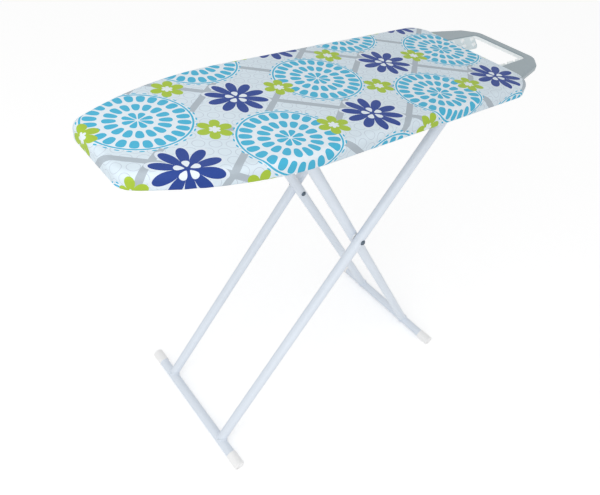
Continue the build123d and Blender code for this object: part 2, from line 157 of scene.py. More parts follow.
# The stage: lamp places and sizes in metres, and how far the floor lights up for the eye.
FLOOR_HALF = 60.0
FLOOR_GLOW = 0.34
KEY_PLACE = (-0.95, -0.35, 1.55)
KEY_SIZE = 0.9
FILL_PLACE = (-4.0, -4.4, 1.6)
FILL_SIZE = 4.0
LAMP_TARGET = (0.0, 0.0, 0.5)
SENSOR_WIDTH = 36.0

MATERIALS = {}


def linear(code):
    """A hex sRGB colour as the linear values a shader takes."""
    channels = []
    for start in (0, 2, 4):
        value = int(code[start:start + 2], 16) / 255
        low = value / 12.92
        high = ((value + 0.055) / 1.055) ** 2.4
        channels.append(low if value <= 0.04045 else high)
    return (*channels, 1.0)


def add(tree, kind, *values, into=None, **settings):
    """Add one node; values fill its inputs in order, and into fills them by name or number."""
    node = tree.nodes.new(kind)
    for name, value in settings.items():
        setattr(node, name, value)
    wanted = dict(enumerate(values))
    wanted.update(into or {})
    for key, value in wanted.items():
        socket = node.inputs[key]
        if isinstance(value, bpy.types.NodeSocket):
            tree.links.new(value, socket)
        else:
            socket.default_value = value
    return node.outputs


def new_material(name):
    """A material with an empty node tree, and the tree."""
    material = bpy.data.materials.new(name)
    material.use_nodes = True
    material.node_tree.nodes.clear()
    return material, material.node_tree


def close_material(tree, **inputs):
    """The shader and the output; each input's name has underscores for spaces."""
    named = {name.replace("_", " "): value for name, value in inputs.items()}
    shader = add(tree, "ShaderNodeBsdfPrincipled", into=named)
    add(tree, "ShaderNodeOutputMaterial", shader[0])


def mottled(tree, place, code, grain, spread):
    """A colour that drifts lighter and darker over a grain given in metres."""
    drift = add(tree, NOISE, into={"Vector": place, "Scale": 1 / grain, "Detail": 3.0})
    shade = add(tree, RANGE, drift[0], NOISE_LOW, NOISE_HIGH, 1 - spread, 1 + spread)
    colour = add(tree, VECTOR, linear(code)[:3], into={"Scale": shade[0]}, operation="SCALE")
    return colour[0]


def grainy(name, code, roughness, grain, depth, drift, metallic=0.0):
    """A solid surface with a fine grain: grain, depth and drift are in metres."""
    spread = 0.02
    gloss = 0.05
    material, tree = new_material(name)
    place = add(tree, PLACE)["Object"]
    colour = mottled(tree, place, code, drift, spread)
    fine = add(tree, NOISE, into={"Vector": place, "Scale": 1 / grain, "Detail": 2.0})
    rough = add(tree, RANGE, fine[0], NOISE_LOW, NOISE_HIGH, roughness - gloss, roughness + gloss)
    bump = add(tree, BUMP, into={"Height": fine[0], "Distance": depth, "Strength": 0.6})
    close_material(tree, Base_Color=colour, Metallic=metallic, Roughness=rough[0], Normal=bump[0])
    return material


def half_drop(tree, cloth, pitch, start):
    """Distance and angle from the nearest centre of a half-drop repeat, in millimetres."""
    along = add(tree, MATH, cloth[0], start[0], operation="SUBTRACT")[0]
    column = add(tree, MATH, along, 1 / pitch[0], 0.5, operation="MULTIPLY_ADD")[0]
    column = add(tree, MATH, column, operation="FLOOR")[0]
    odd = add(tree, MATH, column, 2.0, operation="FLOORED_MODULO")[0]
    drop = add(tree, MATH, odd, pitch[1] / 2, -start[1], operation="MULTIPLY_ADD")[0]
    across = add(tree, MATH, cloth[1], drop, operation="ADD")[0]
    near_u = add(tree, MATH, along, pitch[0] / 2, -pitch[0] / 2, operation="WRAP")[0]
    near_v = add(tree, MATH, across, pitch[1] / 2, -pitch[1] / 2, operation="WRAP")[0]
    spot = add(tree, "ShaderNodeCombineXYZ", near_u, near_v, 0.0)[0]
    distance = add(tree, VECTOR, spot, operation="LENGTH")["Value"]
    angle = add(tree, MATH, near_v, near_u, operation="ARCTAN2")[0]
    return distance, angle


def inside(tree, distance, angle, core, petal, petals):
    """One inside an outline of rounded petals that stand out from a core, else zero."""
    turn = add(tree, MATH, angle, petals / 2, operation="MULTIPLY")[0]
    swing = add(tree, MATH, turn, operation="COSINE")[0]
    swing = add(tree, MATH, swing, operation="ABSOLUTE")[0]
    swing = add(tree, MATH, swing, PETAL_ROUNDNESS, operation="POWER")[0]
    edge = add(tree, MATH, swing, petal, core, operation="MULTIPLY_ADD")[0]
    return add(tree, MATH, distance, edge, operation="LESS_THAN")[0]


def petal_rings(tree, distance, angle, ring, petals, cut):
    """One on the rounded petals of rings that carry more petals the further out they lie."""
    place = add(tree, MATH, distance, 1 / ring, operation="MULTIPLY")[0]
    count = add(tree, MATH, place, operation="CEIL")[0]
    turn = add(tree, MATH, count, angle, operation="MULTIPLY")[0]
    turn = add(tree, MATH, turn, petals / 2, operation="MULTIPLY")[0]
    swing = add(tree, MATH, turn, operation="COSINE")[0]
    swing = add(tree, MATH, swing, operation="ABSOLUTE")[0]
    depth = add(tree, MATH, place, operation="FRACT")[0]
    depth = add(tree, MATH, depth, math.pi, operation="MULTIPLY")[0]
    depth = add(tree, MATH, depth, operation="SINE")[0]
    shape = add(tree, MATH, swing, depth, operation="MULTIPLY")[0]
    return add(tree, MATH, shape, cut, operation="GREATER_THAN")[0]


def ground_inks(tree, cloth):
    """A fine ground of small rings under a grey diamond trellis."""
    ring_pitch = (24.0, 27.7)
    ring_radius = 10.5
    half_line = 0.6
    half_bar = 10.0
    half_cell = REPEAT[0] / 2
    slope = 2 * REPEAT[0] / REPEAT[1]
    distance, _ = half_drop(tree, cloth, ring_pitch, (0.0, 0.0))
    ring = add(tree, MATH, distance, ring_radius, half_line, operation="COMPARE")[0]
    inks = [(ring, linear("C3CEDA"))]
    for lean in (slope, -slope):
        slant = add(tree, MATH, cloth[1], lean, cloth[0], operation="MULTIPLY_ADD")[0]
        slant = add(tree, MATH, slant, half_cell, -half_cell, operation="WRAP")[0]
        bar = add(tree, MATH, slant, 0.0, half_bar, operation="COMPARE")[0]
        inks.append((bar, linear("AEB9C2")))
    return inks


def medallion_inks(tree, cloth, start, ink):
    """Large medallions: rings of petals on a pale scalloped disc, with a thin rim."""
    radius = 92.0
    scallop = 8.0
    rim_radius = 92.5
    half_rim = 1.8
    ring = 31.0
    distance, angle = half_drop(tree, cloth, REPEAT, start)
    disc = inside(tree, distance, angle, radius, scallop, petals=32)
    petals = petal_rings(tree, distance, angle, ring, petals=8, cut=0.36)
    petals = add(tree, MATH, petals, disc, operation="MULTIPLY")[0]
    rim = add(tree, MATH, distance, rim_radius, half_rim, operation="COMPARE")[0]
    return [(disc, linear(PALE_INK)), (petals, ink), (rim, ink)]


def daisy_inks(tree, cloth, start, ink):
    """Daisies between the medallions, with a pale edge and a pale heart."""
    middle_start = (start[0], start[1] + REPEAT[1] / 2)
    heart_radius = 27.0
    distance, angle = half_drop(tree, cloth, REPEAT, middle_start)
    edge = inside(tree, distance, angle, core=30.0, petal=36.0, petals=10)
    daisy = inside(tree, distance, angle, core=20.0, petal=40.0, petals=10)
    heart = petal_rings(tree, distance, angle, heart_radius, petals=5, cut=0.55)
    small = add(tree, MATH, distance, heart_radius, operation="LESS_THAN")[0]
    heart = add(tree, MATH, heart, small, operation="MULTIPLY")[0]
    return [(edge, linear("DCE6EF")), (daisy, ink), (heart, linear(PALE_INK))]


def rosette_inks(tree, cloth, start, ink):
    """Small rosettes with a pale eye, where the bars of the trellis cross."""
    pitch = (REPEAT[0], REPEAT[1] / 2)
    crossing = (start[0] + pitch[0] / 2, start[1] + pitch[1] / 2)
    distance, angle = half_drop(tree, cloth, pitch, crossing)
    rosette = inside(tree, distance, angle, core=14.0, petal=19.0, petals=6)
    eye = inside(tree, distance, angle, core=5.0, petal=6.0, petals=6)
    return [(rosette, ink), (eye, linear(PALE_INK))]


def printed_cotton(settings):
    """Screen-printed cotton with a soft calendered face: matt inks lie in the weave,
    so the eye gets flat colours with a faint sheen at glancing light."""
    material, tree = new_material("printed cotton")
    place = add(tree, PLACE)["UV"]
    flat = add(tree, VECTOR, place, into={"Scale": 1 / MM}, operation="SCALE")[0]
    axes = add(tree, "ShaderNodeSeparateXYZ", flat)
    cloth = (axes[0], axes[1])
    start = (settings.shift_u / MM, settings.shift_v / MM)
    inks = ground_inks(tree, cloth)
    inks += medallion_inks(tree, cloth, start, settings.turquoise)
    inks += daisy_inks(tree, cloth, start, settings.navy)
    inks += rosette_inks(tree, cloth, start, settings.lime)
    colour = mottled(tree, place, "D8E6EF", 90 * MM, 0.03)
    # A colour mix takes its two colours as inputs 6 and 7 and gives output 2.
    for mask, ink in inks:
        colour = add(tree, MIX, mask, into={6: colour, 7: ink}, data_type="RGBA")[2]

    # The plain weave is drawn at 1.4 mm a thread, about four times the real pitch.
    thread = 1.4
    weave = add(tree, "ShaderNodeTexChecker", into={"Vector": flat, "Scale": 1 / thread})[1]
    threads = add(tree, BUMP, into={"Height": weave, "Distance": 0.1 * MM, "Strength": 0.25})
    # Calendering presses the threads unevenly, so the gloss drifts over a few centimetres.
    press = 35.0
    pressed = add(tree, NOISE, into={"Vector": flat, "Scale": 1 / press, "Detail": 2.0})
    gloss = add(tree, RANGE, pressed[0], NOISE_LOW, NOISE_HIGH, 0.56, 0.68)
    close_material(
        tree,
        Base_Color=colour,
        Roughness=gloss[0],
        Normal=threads[0],
        Specular_IOR_Level=0.3,
        Sheen_Weight=0.06,
        Sheen_Roughness=0.4,
    )
    return material


def braided_elastic():
    """Braided rubber and polyester: a matt white band with a fine cross rib."""
    material, tree = new_material("braided elastic")
    place = add(tree, PLACE)["Object"]
    colour = mottled(tree, place, "E2E2DE", 20 * MM, 0.03)
    # A wave texture has a band for each tenth of pi of its scaled place.
    pitch = 1.2566 * MM
    rib = add(tree, "ShaderNodeTexWave", into={"Vector": place, "Scale": math.pi / 10 / pitch})[1]
    bump = add(tree, BUMP, into={"Height": rib, "Distance": 0.2 * MM, "Strength": 0.5})
    close_material(tree, Base_Color=colour, Roughness=0.8, Normal=bump[0])
    return material


def cut_foam():
    """Cut polyether foam: open cells leave a matt, finely pitted cream face."""
    material, tree = new_material("polyether foam")
    place = add(tree, PLACE)["Object"]
    colour = mottled(tree, place, "E9E4D2", 30 * MM, 0.04)
    cell = 1.5 * MM
    cells = add(tree, "ShaderNodeTexVoronoi", into={"Vector": place, "Scale": 1 / cell})[0]
    bump = add(tree, BUMP, into={"Height": cells, "Distance": 0.6 * MM, "Strength": 0.8})
    close_material(tree, Base_Color=colour, Roughness=0.95, Normal=bump[0])
    return material


def make_materials(cover):
    """Every material of the object, by a short key.

    Flake, spark grain, twist and drawn grain are drawn some times coarser than the real ones,
    so that they show.
    """
    return {
        "cotton": printed_cotton(cover),
        "elastic": braided_elastic(),
        "foam": cut_foam(),
        # Spun polyester thread: matt, with a fuzzy twist.
        "thread": grainy(
            "polyester thread", "E8ECF0", roughness=0.8,
            grain=0.4 * MM, depth=0.1 * MM, drift=20 * MM),
        # Sprayed and baked powder coat: an even satin skin with a slight orange peel.
        "paint": grainy(
            "powder coated steel tube", "E4ECF6", roughness=0.36,
            grain=2.2 * MM, depth=0.01 * MM, drift=120 * MM),
        # Dipped grey enamel on pressed sheet: satin, with the sheet's slow waves.
        "sheet": grainy(
            "enamelled steel sheet", "C9CDD3", roughness=0.42,
            grain=3.0 * MM, depth=0.03 * MM, drift=100 * MM),
        # Zinc plating on drawn wire and turned pins: bright metal with a fine drawn grain.
        "zinc": grainy(
            "zinc plated steel", "BFC4C8", roughness=0.32,
            grain=0.8 * MM, depth=0.01 * MM, drift=30 * MM, metallic=1.0),
        # Pressed rivet heads, passivated: dark bluish metal with a dull polish.
        "rivet": grainy(
            "passivated rivet steel", "5A6773", roughness=0.38,
            grain=1.0 * MM, depth=0.02 * MM, drift=20 * MM, metallic=1.0),
        # Moulded polypropylene caps: soft white with a faint waxy gloss.
        "cap": grainy(
            "polypropylene cap", "FCFCFC", roughness=0.36,
            grain=1.5 * MM, depth=0.02 * MM, drift=50 * MM),
        # Moulded and silver-lacquered ABS frame: satin grey with fine flake.
        "rest": grainy(
            "silver lacquered ABS", "8E9EA5", roughness=0.34,
            grain=0.9 * MM, depth=0.015 * MM, drift=60 * MM, metallic=0.1),
        # Moulded cheek plates: a lighter, matt grey plastic with a fine spark grain.
        "cheek": grainy(
            "spark grained plastic", "DCE8EC", roughness=0.55,
            grain=1.1 * MM, depth=0.03 * MM, drift=50 * MM),
        # Silicone cast into studs and strip: milky white with a soft, low gloss.
        # The strip's near-white is partly its own colour and partly a painted highlight on the end
        # bar's inner wall.
        "silicone_and_painted_highlight": grainy(
            "cast silicone", "F6F9FA", roughness=0.5,
            grain=1.4 * MM, depth=0.02 * MM, drift=30 * MM),
        # Moulded nylon of the catch: mid grey with a low gloss.
        "nylon": grainy(
            "glass filled nylon", "6E747B", roughness=0.5,
            grain=0.9 * MM, depth=0.03 * MM, drift=50 * MM),
    }


def surface(key):
    """The material of a key; all of them are made when the first is asked for."""
    if not MATERIALS:
        MATERIALS.update(make_materials(bpy.context.scene.board_cover))
    return MATERIALS[key]


def seen_rays(tree):
    """One for a ray that the eye follows: straight, mirrored or through glass."""
    path = add(tree, "ShaderNodeLightPath")
    seen = add(tree, MATH, path["Is Camera Ray"], path["Is Glossy Ray"], operation="MAXIMUM")[0]
    return add(tree, MATH, seen, path["Is Transmission Ray"], operation="MAXIMUM")[0]


def middle(node):
    """The middle of a CAD node's box."""
    low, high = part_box(node)
    return (low + high) / 2


def dress(key, *nodes):
    """Give CAD nodes their material."""
    for name in nodes:
        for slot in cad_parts[name].material_slots:
            slot.material = surface(key)


def mesh_piece(name, points, faces, key, body):
    """A smooth-shaded mesh that rides on a body."""
    mesh = bpy.data.meshes.new(name)
    mesh.from_pydata(points, [], faces)
    mesh.validate()
    mesh.polygons.foreach_set("use_smooth", [True] * len(mesh.polygons))
    piece = bpy.data.objects.new(name, mesh)
    bpy.context.scene.collection.objects.link(piece)
    piece.data.materials.append(surface(key))
    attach(piece, body)
    return piece


def ripple(place, down, waves):
    """Smooth noise from -1 to 1, with waves a metre in two directions and a layer."""
    return noise.noise(Vector((place * waves[0], down * waves[1], waves[2])))


def arc(centre_x, centre_y, radius, first, last, steps):
    """Points and outward normals along an arc of the plan, without its last point."""
    row = []
    for number in range(steps):
        turn = first + (last - first) * number / steps
        normal = (math.cos(turn), math.sin(turn))
        row.append((centre_x + radius * normal[0], centre_y + radius * normal[1], *normal))
    return row


def half_plan(step):
    """Points and outward normals of the far half of the plan, heel end to nose end."""
    corner_x = HEEL_X - HEEL_CORNER
    corner_y = HALF_WIDTH - HEEL_CORNER
    steps = max(HEEL_STEPS_LEAST, round(HEEL_CORNER * QUARTER_TURN / step))
    plan = arc(corner_x, corner_y, HEEL_CORNER, 0.0, QUARTER_TURN, steps)
    steps = round((corner_x - TAPER_START_X) / step)
    for number in range(steps):
        x = corner_x + (TAPER_START_X - corner_x) * number / steps
        plan.append((x, HALF_WIDTH, 0.0, 1.0))
    nose_x = NOSE_X + NOSE_CORNER
    taper_y = HALF_WIDTH - TAPER_RADIUS
    reach = TAPER_RADIUS - NOSE_CORNER
    nose_y = taper_y + math.sqrt(reach ** 2 - (nose_x - TAPER_START_X) ** 2)
    sweep = math.asin((TAPER_START_X - nose_x) / reach)
    meet = QUARTER_TURN + sweep
    steps = round(TAPER_RADIUS * sweep / step)
    plan += arc(TAPER_START_X, taper_y, TAPER_RADIUS, QUARTER_TURN, meet, steps)
    plan += arc(nose_x, nose_y, NOSE_CORNER, meet, math.pi, NOSE_STEPS)
    plan.append((NOSE_X, nose_y, -1.0, 0.0))
    return plan


def mirrored(plan):
    """The near half of the plan, nose end to heel end."""
    return [(x, -y, normal_x, -normal_y) for x, y, normal_x, normal_y in reversed(plan)]


def top_grid(plan, columns, start, height):
    """Points, faces and flat places of the top, one row across for each point of the plan."""
    points = []
    faces = []
    cloth = []
    width = columns + 1
    for x, y, normal_x, normal_y in plan:
        row_x = x - normal_x * start
        row_y = y - normal_y * start
        for column in range(width):
            across = row_y * (1 - 2 * column / columns)
            room = min(row_y - abs(across), row_x - NOSE_X - start, HEEL_X - start - row_x)
            points.append((row_x, across, height(row_x, across, room)))
            cloth.append((row_x, across))
    for row in range(len(plan) - 1):
        for column in range(columns):
            first = row * width + column
            faces.append((first, first + width, first + width + 1, first + 1))
    return points, faces, cloth


def top_rim(plan, columns, points):
    """The grid's edge as a loop: each point's number, with its place and normal on the plan."""
    width = columns + 1
    last = len(plan) - 1
    rim = [(row * width, place) for row, place in enumerate(plan)]
    for column in range(1, columns):
        index = last * width + column
        rim.append((index, (NOSE_X, points[index][1], -1.0, 0.0)))
    for row, place in zip(range(last, -1, -1), mirrored(plan)):
        rim.append((row * width + columns, place))
    for column in range(columns - 1, 0, -1):
        rim.append((column, (HEEL_X, points[column][1], 1.0, 0.0)))
    return rim


def covered_mesh(plan, columns, profile, height, wander):
    """Points, faces, cloth coordinates and last loop of a top whose edge follows a profile.

    The profile lists how far each loop lies inside the plan, its height and its length
    along the cloth from the first loop; wander moves a loop's points like a soft cloth.
    """
    start = profile[0][0]
    points, faces, cloth = top_grid(plan, columns, start, height)
    rim = top_rim(plan, columns, points)
    lengths = [0.0]
    for (_, here), (_, there) in zip(rim, rim[1:]):
        lengths.append(lengths[-1] + math.dist(here[:2], there[:2]))
    loop = [index for index, _ in rim]
    for inset, level, run in profile[1:]:
        spread = run - start
        below = []
        for (_, (x, y, normal_x, normal_y)), length in zip(rim, lengths):
            out, up = wander(x, y, length, run)
            reach = out - inset
            below.append(len(points))
            points.append((x + normal_x * reach, y + normal_y * reach, level + up))
            cloth.append((x + normal_x * spread, y + normal_y * spread))
        for number, corner in enumerate(loop):
            following = (number + 1) % len(loop)
            faces.append((corner, below[number], below[following], loop[following]))
        loop = below
    return points, faces, cloth, loop


def measured(section):
    """A section's points, each with its length along the section from the first."""
    profile = []
    run = 0.0
    for point in section:
        if profile:
            run += math.dist(point, profile[-1][:2])
        profile.append((*point, run))
    return profile


def edge_profile(settings):
    """The cover's section: rolled top edge, skirt, rolled lower edge, hem and elastic fold."""
    roll = settings.edge_roll
    lower = settings.lower_roll
    skirt_top = COVER_TOP - roll
    skirt_foot = COVER_BOTTOM + lower
    turns = [QUARTER_TURN * number / ROLL_STEPS for number in range(ROLL_STEPS + 1)]
    section = []
    for turn in turns:
        section.append((roll * (1 - math.sin(turn)), COVER_TOP - roll * (1 - math.cos(turn))))
    for number in range(1, SKIRT_ROWS):
        section.append((0.0, skirt_top + (skirt_foot - skirt_top) * number / SKIRT_ROWS))
    for turn in turns:
        section.append((lower * (1 - math.cos(turn)), skirt_foot - lower * math.sin(turn)))
    for number in range(1, HEM_ROWS + 1):
        section.append((lower + (settings.hem_width - lower) * number / HEM_ROWS, COVER_BOTTOM))
    for inset, rise in HEM_FOLD:
        section.append((inset * MM, COVER_BOTTOM + rise * MM))
    return measured(section)


def cover_height(x, y, room):
    """The height of the stretched top, which lies flat towards its edge."""
    ease = min(1.0, room / TOP_EASE) ** 2
    rise = sum(depth * ripple(x, y, waves) for *waves, depth in TOP_RIPPLES)
    return COVER_TOP + rise * ease


def tightness(x, y):
    """How strongly the elastic gathers the cloth at a place on the plan."""
    if x > HEEL_X - HEEL_CORNER and abs(y) > HALF_WIDTH - HEEL_CORNER:
        return 1.0
    towards_nose = min(1.0, max(0.0, TAPER_START_X - x) / GATHER_RUN_IN)
    return STRAIGHT_GATHER + (1 - STRAIGHT_GATHER) * towards_nose


def gathered(depth):
    """A function that moves skirt and hem outward and upward, drawn in by the elastic."""
    def wander(x, y, length, run):
        folds = ripple(length, run, FOLDS) + SMALL_FOLD_SHARE * ripple(length, run, SMALL_FOLDS)
        folds *= tightness(x, y)
        sway = ripple(length, run, SWAY)
        skirt = min(1.0, max(0.0, run - SKIRT_START) / COVER_DEPTH)
        hem = min(1.0, max(0.0, run - COVER_DEPTH) / HEM_EASE)
        out = (SKIRT_FOLD_SHARE * folds + SKIRT_SWAY_SHARE * sway) * skirt * depth
        return out, HEM_FOLD_SHARE * folds * hem * depth

    return wander


def cloth_coordinates(piece, cloth):
    """Lay each point of the flat cloth, in metres, on the piece as its UV map."""
    layer = piece.data.uv_layers.new(name="cloth")
    for corner in piece.data.loops:
        layer.data[corner.index].uv = cloth[corner.vertex_index]


def thicken(piece, thickness):
    """Give a cloth its thickness, inward from its outer face."""
    modifier = piece.modifiers.new("thickness", "SOLIDIFY")
    modifier.thickness = thickness
    modifier.offset = -1.0


def stitch(centre, normal, first):
    """Points and faces of one stitch: a sliver with pinched ends, numbered from first."""
    along = Vector((-normal[1], normal[0], 0.0)) * STITCH_HALF_LENGTH
    beside = Vector((normal[0], normal[1], 0.0)) * STITCH_HALF_WIDTH
    down = -UP * STITCH_DEPTH
    flat = along * STITCH_FLAT_SHARE
    points = [
        centre - along, centre + along,
        centre - flat + beside + down, centre + flat + beside + down,
        centre - flat - beside + down, centre + flat - beside + down,
    ]
    corners = ((0, 1, 3, 2), (2, 3, 5, 4), (4, 5, 1, 0), (0, 2, 4), (1, 5, 3))
    return points, [tuple(first + corner for corner in face) for face in corners]


def hem_stitches(plan, wander, run):
    """Short stitches along the hem, just outside the elastic."""
    points = []
    faces = []
    path = plan + mirrored(plan)
    length = 0.0
    for here, there in zip(path, path[1:]):
        x, y, *normal = here
        step = math.dist(here[:2], there[:2])
        if STITCH_STEPS[0] < step < STITCH_STEPS[1]:
            _, up = wander(x, y, length, run)
            level = COVER_BOTTOM + up - STITCH_SINK
            centre = Vector((x - normal[0] * SEAM_INSET, y - normal[1] * SEAM_INSET, level))
            sliver, sides = stitch(centre, normal, len(points))
            points += sliver
            faces += sides
        length += step
    return mesh_piece("hem_stitches", points, faces, "thread", "board")


def tube_along(path, radii, sides):
    """Points and faces of a closed loop of round section along a closed path."""
    points = []
    faces = []
    count = len(path)
    for number in range(count):
        here = path[number]
        ahead = (path[(number + 1) % count] - path[number - 1]).normalized()
        flat = UP.cross(ahead).normalized()
        rise = ahead.cross(flat)
        for side in range(sides):
            turn = FULL_TURN * side / sides
            points.append(here + radii[number] * (math.cos(turn) * flat + math.sin(turn) * rise))
    for number in range(count):
        following = (number + 1) % count
        for side in range(sides):
            beside = (side + 1) % sides
            faces.append((
                number * sides + side,
                number * sides + beside,
                following * sides + beside,
                following * sides + side,
            ))
    return points, faces


def bead_path(foot, rise, place, size):
    """The saddle line where a tube meets its foot bar, just outside both."""
    wide = Vector((rise.z, 0.0, -rise.x))
    path = []
    for number in range(BEAD_STEPS):
        turn = FULL_TURN * number / BEAD_STEPS
        along = math.cos(turn) * TUBE_RADIUS
        across = math.sin(turn) * TUBE_RADIUS
        saddle = math.sqrt(max(0.0, TUBE_RADIUS ** 2 - across ** 2))
        spot = foot + wide * across * BEAD_CLEAR_ACROSS + rise * (saddle + size * BEAD_LIFT)
        path.append(spot + Vector((0.0, place + along * BEAD_CLEAR_ALONG, 0.0)))
    return path


class CoverSettings(bpy.types.PropertyGroup):
    """The printed cover."""
    turquoise: FloatVectorProperty(
        name="Turquoise", description="Ink of the large medallions",
        subtype="COLOR", size=4, default=linear("45B3D6"))
    navy: FloatVectorProperty(
        name="Navy", description="Ink of the daisies",
        subtype="COLOR", size=4, default=linear("22418F"))
    lime: FloatVectorProperty(
        name="Lime", description="Ink of the rosettes",
        subtype="COLOR", size=4, default=linear("A6C33A"))
    shift_u: FloatProperty(
        name="Shift along", description="Where the repeat starts along the board",
        default=-0.060, unit="LENGTH")
    shift_v: FloatProperty(
        name="Shift across", description="Where the repeat starts across the board",
        default=0.040, unit="LENGTH")
    edge_roll: FloatProperty(
        name="Edge roll", description="Radius of the rolled top edge",
        default=0.013, unit="LENGTH")
    lower_roll: FloatProperty(
        name="Lower roll", description="Radius of the rolled lower edge",
        default=0.0045, unit="LENGTH")
    hem_width: FloatProperty(
        name="Hem", description="How far the hem reaches under the top",
        default=0.032, unit="LENGTH")
    thickness: FloatProperty(
        name="Thickness", description="Thickness of the cotton",
        default=0.0010, unit="LENGTH")
    gather: FloatProperty(
        name="Gather", description="Depth of the gathers at the corners",
        default=0.0022, unit="LENGTH")
    columns: IntProperty(name="Columns", description="Cells across the top", default=64)


class StandSettings(bpy.types.PropertyGroup):
    """The welded stand."""
    bead: FloatProperty(
        name="Bead", description="Radius of the weld bead at each foot bar",
        default=0.0026, unit="LENGTH")


class StageSettings(bpy.types.PropertyGroup):
    """Camera, light and floor."""
    place: FloatVectorProperty(
        name="Camera", description="Where the camera stands",
        default=(-0.8188, -0.7550, 1.3715), subtype="TRANSLATION")
    yaw: FloatProperty(
        name="Yaw", description="Turn of the view from +Y to +X",
        default=math.radians(44.70), subtype="ANGLE")
    pitch: FloatProperty(
        name="Pitch", description="How far the view looks down",
        default=math.radians(40.72), subtype="ANGLE")
    roll: FloatProperty(
        name="Roll", description="Lean of the picture",
        default=math.radians(9.08), subtype="ANGLE")
    lens: FloatProperty(
        name="Lens", description="Focal length for a 36 mm sensor",
        default=33.24, unit="CAMERA")
    world: FloatProperty(
        name="World", description="Strength of the even white light",
        default=0.68, subtype="FACTOR", min=0.0, max=1.0)
    key: FloatProperty(
        name="Key", description="Power of the lamp over the nose",
        default=3.9, subtype="POWER")
    fill: FloatProperty(
        name="Fill", description="Power of the large side lamp",
        default=76.0, subtype="POWER")


class BOARD_OT_filling(bpy.types.Operator):
    """Lay the foam pad under the cover and thread the elastic through its hem"""
    bl_idname = "board.filling"
    bl_label = "Foam and elastic"

    def execute(self, context):
        def height(x, y, room):
            return FOAM_CROWN + FOAM_RIPPLE_DEPTH * ripple(x, y, FOAM_RIPPLE)

        def still(x, y, length, run):
            return 0.0, 0.0

        points, faces, _, loop = covered_mesh(
            half_plan(FOAM_STEP), FOAM_COLUMNS, measured(FOAM_EDGE), height, still)
        faces.append(tuple(reversed(loop)))
        foam = mesh_piece("foam_filling", points, faces, "foam", "board")
        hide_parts("foam_pad")

        path = []
        plan = half_plan(ELASTIC_STEP)
        level = COVER_BOTTOM + ELASTIC_RISE
        for x, y, normal_x, normal_y in plan + mirrored(plan):
            path.append(Vector((x - normal_x * ELASTIC_INSET, y - normal_y * ELASTIC_INSET, level)))
        points, faces = tube_along(path, [ELASTIC_RADIUS] * len(path), ELASTIC_SIDES)
        elastic = mesh_piece("gathering_elastic", points, faces, "elastic", "board")
        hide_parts("hem_elastic")
        return {"FINISHED"}


class BOARD_OT_cover(bpy.types.Operator):
    """Sew the printed cover over the top and gather its hem"""
    bl_idname = "board.cover"
    bl_label = "Cover"

    def execute(self, context):
        settings = context.scene.board_cover
        plan = half_plan(COVER_STEP)
        profile = edge_profile(settings)
        wander = gathered(settings.gather)
        points, faces, cloth, _ = covered_mesh(
            plan, settings.columns, profile, cover_height, wander)
        cover = mesh_piece("printed_cover", points, faces, "cotton", "board")
        cloth_coordinates(cover, cloth)
        thicken(cover, settings.thickness)

        hem_end = profile[-len(HEM_FOLD) - 1][2]
        stitches = hem_stitches(plan, wander, hem_end)
        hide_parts("cover_cloth")
        return {"FINISHED"}


class BOARD_OT_top_steel(bpy.types.Operator):
    """Enamel the pressed steel top, its rim, ribs, brackets and rails"""
    bl_idname = "board.top_steel"
    bl_label = "Top steel"

    def execute(self, context):
        dress(
            "sheet", "rim_channel", "mesh_top", "cross_rib_nose", "cross_rib_middle",
            "cross_rib_hinge", "cross_rib_heel", "hinge_bracket_near", "hinge_bracket_far",
            "slide_rail_near", "slide_rail_far", "rod_post_nose", "rod_post_middle")
        return {"FINISHED"}


class BOARD_OT_stand(bpy.types.Operator):
    """Paint the tubes and foot bars and run a weld bead round each joint"""
    bl_idname = "board.stand"
    bl_label = "Stand"

    def execute(self, context):
        dress(
            "paint", "outer_tube_near", "outer_tube_far", "outer_foot_bar", "inner_tube_near",
            "inner_tube_far", "inner_foot_bar", "slide_bar", "rest_arm_near", "rest_arm_far",
            "release_lever")
        size = context.scene.board_stand.bead
        radii = []
        for number in range(BEAD_STEPS):
            radii.append(size * (1 + BEAD_RIPPLE * math.sin(number * BEAD_RIPPLE_TURN)))
        top = middle("pivot_rivet_near")
        for leg in ("outer", "inner"):
            body = leg + "_leg"
            foot = middle(leg + "_foot_bar")
            rise = Vector((top.x - foot.x, 0.0, top.z - foot.z)).normalized()
            for word in ("near", "far"):
                path = bead_path(foot, rise, middle(f"{leg}_tube_{word}").y, size)
                points, faces = tube_along(path, radii, BEAD_SIDES)
                bead = mesh_piece(f"weld_{body}_{word}", points, faces, "paint", body)
        return {"FINISHED"}


class BOARD_OT_caps(bpy.types.Operator):
    """Fit the moulded foot caps, tube plugs and pivot washers"""
    bl_idname = "board.caps"
    bl_label = "Caps"

    def execute(self, context):
        dress(
            "cap", "outer_foot_cap_near", "outer_foot_cap_far", "inner_foot_cap_near",
            "inner_foot_cap_far", "tube_plugs", "pivot_washers")
        return {"FINISHED"}


class BOARD_OT_rest(bpy.types.Operator):
    """Finish the iron rest, its cheek plates, studs and soft strip, whose near-white is partly a
    painted highlight
    """
    bl_idname = "board.rest"
    bl_label = "Iron rest"

    def execute(self, context):
        dress("rest", "rest_frame")
        dress("cheek", "rest_cheek_near", "rest_cheek_far")
        # The strip's near-white is partly its own colour and partly a painted highlight on the end
        # bar's inner wall.
        dress("silicone_and_painted_highlight", "rest_studs", "rest_strip")
        return {"FINISHED"}


class BOARD_OT_fittings(bpy.types.Operator):
    """Finish the catch, the lock rod, pins, rivets and screws"""
    bl_idname = "board.fittings"
    bl_label = "Catch and fasteners"

    def execute(self, context):
        dress("nylon", "lock_carriage", "lever_grip")
        dress(
            "zinc", "lock_rod", "lever_pin", "lever_spring", "hinge_pins", "rest_screws",
            "arm_rivets", "bracket_rivets", "rail_rivets")
        dress("rivet", "pivot_rivet_near", "pivot_rivet_far")
        return {"FINISHED"}


